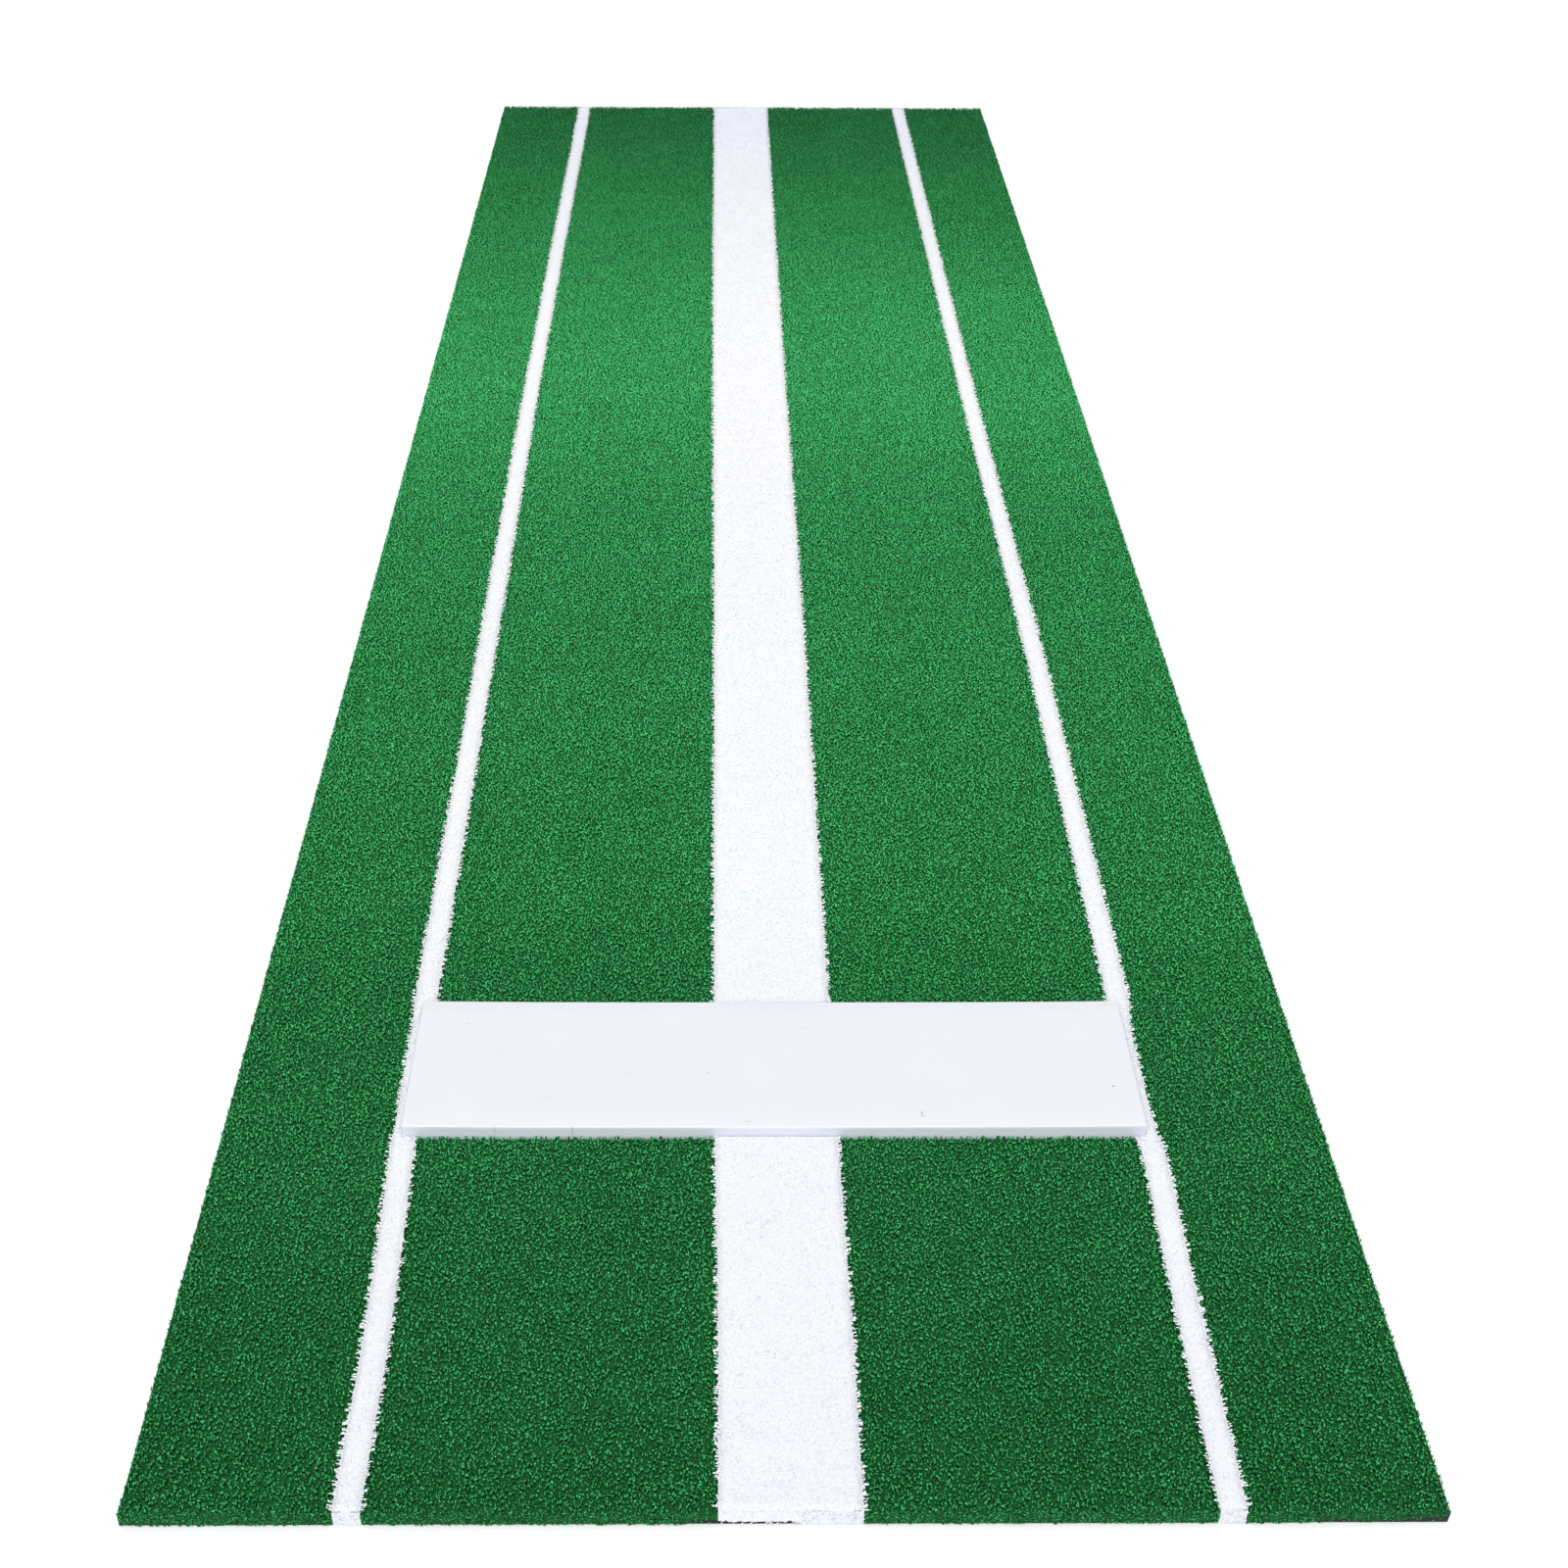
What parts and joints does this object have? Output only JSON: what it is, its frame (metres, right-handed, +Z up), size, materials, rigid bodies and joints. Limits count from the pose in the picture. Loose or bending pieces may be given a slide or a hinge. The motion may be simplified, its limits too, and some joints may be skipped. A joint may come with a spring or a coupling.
{
  "type": "softball pitching mat",
  "caption": "Rectangular artificial-turf pitching lane with inlaid white aiming lines and a raised white rubber slab set across it near the rear end.",
  "frame": {"origin": "on the floor under the middle of the mat: the centre of the foam pad's flat underside", "axes": "+Z up; +Y along the lane, from the rear end that is behind the rubber towards the front end; +X across the mat to the pitcher's right"},
  "size_m": [0.91, 3.048, 0.0243],
  "materials": {
    "foam_rubber": "matte foamed",
    "woven_backing": "woven, latex coated",
    "green_pile": "short curled yarn",
    "white_pile": "short curled yarn",
    "white_rubber": "satin moulded",
    "joining_tape": "coated cloth",
    "reinforced_patch": "fabric reinforced",
    "zinc_steel": "zinc plated",
    "brass_insert": "turned"
  },
  "bodies": {
    "root": {"centre_line_front_backing": "woven_backing", "centre_line_front_pile": "white_pile", "centre_line_front_tape": "joining_tape", "centre_line_rear_backing": "woven_backing", "centre_line_rear_pile": "white_pile", "centre_line_rear_tape": "joining_tape", "foam_pad": "foam_rubber", "left_lane_front_backing": "woven_backing", "left_lane_front_pile": "green_pile", "left_lane_rear_backing": "woven_backing", "left_lane_rear_pile": "green_pile", "left_line_backing": "woven_backing", "left_line_pile": "white_pile", "left_line_tape": "joining_tape", "left_outer_backing": "woven_backing", "left_outer_pile": "green_pile", "patch_screw_1": "zinc_steel", "patch_screw_2": "zinc_steel", "patch_screw_3": "zinc_steel", "patch_screw_4": "zinc_steel", "patch_screw_5": "zinc_steel", "patch_screw_6": "zinc_steel", "patch_washer_1": "zinc_steel", "patch_washer_2": "zinc_steel", "patch_washer_3": "zinc_steel", "patch_washer_4": "zinc_steel", "patch_washer_5": "zinc_steel", "patch_washer_6": "zinc_steel", "pitching_rubber": "white_rubber", "right_lane_front_backing": "woven_backing", "right_lane_front_pile": "green_pile", "right_lane_rear_backing": "woven_backing", "right_lane_rear_pile": "green_pile", "right_line_backing": "woven_backing", "right_line_pile": "white_pile", "right_line_tape": "joining_tape", "right_outer_backing": "woven_backing", "right_outer_pile": "green_pile", "rubber_insert_1": "brass_insert", "rubber_insert_2": "brass_insert", "rubber_insert_3": "brass_insert", "rubber_insert_4": "brass_insert", "rubber_insert_5": "brass_insert", "rubber_insert_6": "brass_insert", "rubber_patch": "reinforced_patch"}
  },
  "joints": []
}
